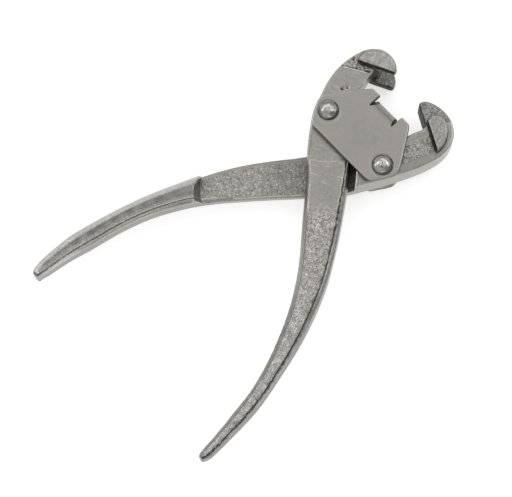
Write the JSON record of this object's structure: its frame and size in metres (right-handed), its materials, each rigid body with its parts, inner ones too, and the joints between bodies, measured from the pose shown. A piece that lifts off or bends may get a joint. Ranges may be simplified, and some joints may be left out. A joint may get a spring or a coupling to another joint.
{
  "type": "crimping pliers",
  "caption": "Plated double-pivot clip-crimping pliers: crossing forged levers between side plates, with hooked jaws closing over an anvil.",
  "frame": {"origin": "centre of the anvil's working face, midway between the front and back of the tool", "axes": "+Y out of the jaws, away from the anvil; +X along the line of the rivets, from the fork lever's to the tongue lever's; +Z out of the front face"},
  "size_m": [0.1266, 0.2053, 0.0234],
  "materials": {
    "fork_plating": "nickel-plated forging, ground flat near the pivot and rough along the handle",
    "tongue_plating": "nickel-plated forging with a grainy as-forged skin",
    "front_plate_plating": "satin nickel-plated stamping",
    "back_plate_plating": "satin nickel-plated stamping",
    "anvil_steel": "satin steel",
    "rivet_steel": "bright plated dome",
    "pin_steel": "ground flush with the plates"
  },
  "bodies": {
    "centre_assembly": {"front_plate": "front_plate_plating", "back_plate": "back_plate_plating", "anvil_block": "anvil_steel", "rivet_fork": "rivet_steel", "rivet_tongue": "rivet_steel", "anvil_pin_left": "pin_steel", "anvil_pin_right": "pin_steel"},
    "fork_lever": {"lever_fork": "fork_plating"},
    "tongue_lever": {"lever_tongue": "tongue_plating"}
  },
  "joints": [
    {"name": "fork_pivot", "type": "hinge", "parent": "centre_assembly", "child": "fork_lever", "pos_m": [-0.0194, -0.0224, 0], "axis": [0, 0, -1], "range_deg": [-2, 18]},
    {"name": "tongue_pivot", "type": "hinge", "parent": "centre_assembly", "child": "tongue_lever", "pos_m": [0.0194, -0.0224, 0], "axis": [0, 0, 1], "range_deg": [-2, 18]}
  ]
}
